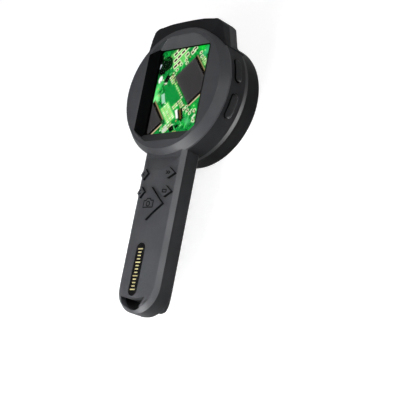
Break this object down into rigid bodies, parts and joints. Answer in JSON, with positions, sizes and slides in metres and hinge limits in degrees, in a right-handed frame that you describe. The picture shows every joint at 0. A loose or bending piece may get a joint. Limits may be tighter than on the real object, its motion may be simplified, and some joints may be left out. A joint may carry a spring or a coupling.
{
  "type": "usb digital microscope",
  "caption": "Handheld digital microscope with a round head, a recessed screen, a domed handle with keys and a lanyard slot, and a pull-off light hood round the lens and lamps.",
  "frame": {"origin": "centre of the light hood's rim, in the rim's plane", "axes": "+Z from the rim towards the screen, +Y from the handle towards the flat-topped crown, +X towards the two side buttons"},
  "size_m": [0.0625, 0.135, 0.0254],
  "materials": {
    "housing": "fine matte charcoal ABS",
    "hood": "matte black ABS",
    "key": "fine matte charcoal ABS",
    "label": "smooth black inlay",
    "glass": "clear",
    "foam": "closed-cell foam",
    "lcd": "lit screen",
    "steel": "plain",
    "flex": "polyimide film",
    "board": "solder mask",
    "chip": "moulded",
    "silicone": "moulded silicone",
    "battery": "foil pouch",
    "window": "clear acrylic",
    "white_lamp": "moulded lamp",
    "uv_lamp": "moulded lamp",
    "lamp_board": "white solder mask"
  },
  "bodies": {
    "housing": {"rear_case": "housing", "front_cover": "housing", "label_plate": "label", "screen_window": "glass", "screen_gasket": "foam", "lcd_panel": "lcd", "lcd_backing": "steel", "lcd_flex": "flex", "main_board": "board", "board_chips": "chip", "image_sensor": "chip", "board_screws": "steel", "side_switches": "steel", "usb_socket": "steel", "card_socket": "steel", "keypad_sheet": "silicone", "key_switches": "steel", "keypad_board": "board", "keypad_ribbon": "flex", "battery": "battery", "battery_pad": "foam", "speaker": "chip", "lamp_plate": "housing", "lamp_windows": "window", "white_lamps": "white_lamp", "uv_lamp": "uv_lamp", "lamp_board": "lamp_board", "lens_dish": "hood", "lens_barrel": "hood", "objective_lens": "glass"},
    "key_upper_left": {"key_upper_left": "key"},
    "key_upper_right": {"key_upper_right": "key"},
    "key_lower_left": {"key_lower_left": "key"},
    "key_lower_right": {"key_lower_right": "key"},
    "shutter_key": {"shutter_key": "key"},
    "side_button_upper": {"side_button_upper": "key"},
    "side_button_lower": {"side_button_lower": "key"},
    "light_hood": {"light_hood": "hood"}
  },
  "joints": [
    {"name": "key_upper_left_press", "type": "slide", "parent": "housing", "child": "key_upper_left", "axis": [0, 0, -1], "range_m": [0, 0.0004], "stiffness_N_per_m": 600},
    {"name": "key_upper_right_press", "type": "slide", "parent": "housing", "child": "key_upper_right", "axis": [0, 0, -1], "range_m": [0, 0.0004], "stiffness_N_per_m": 600},
    {"name": "key_lower_left_press", "type": "slide", "parent": "housing", "child": "key_lower_left", "axis": [0, 0, -1], "range_m": [0, 0.0004], "stiffness_N_per_m": 600},
    {"name": "key_lower_right_press", "type": "slide", "parent": "housing", "child": "key_lower_right", "axis": [0, 0, -1], "range_m": [0, 0.0004], "stiffness_N_per_m": 600},
    {"name": "shutter_key_press", "type": "slide", "parent": "housing", "child": "shutter_key", "axis": [0, 0, -1], "range_m": [0, 0.0004], "stiffness_N_per_m": 600},
    {"name": "side_button_upper_press", "type": "slide", "parent": "housing", "child": "side_button_upper", "axis": [-0.9636, -0.2672, 0], "range_m": [0, 0.0004], "stiffness_N_per_m": 600},
    {"name": "side_button_lower_press", "type": "slide", "parent": "housing", "child": "side_button_lower", "axis": [-0.9636, 0.2672, 0], "range_m": [0, 0.0004], "stiffness_N_per_m": 600},
    {"name": "light_hood_pull", "type": "slide", "parent": "housing", "child": "light_hood", "axis": [0, 0, -1], "range_m": [0, 0.012]}
  ]
}
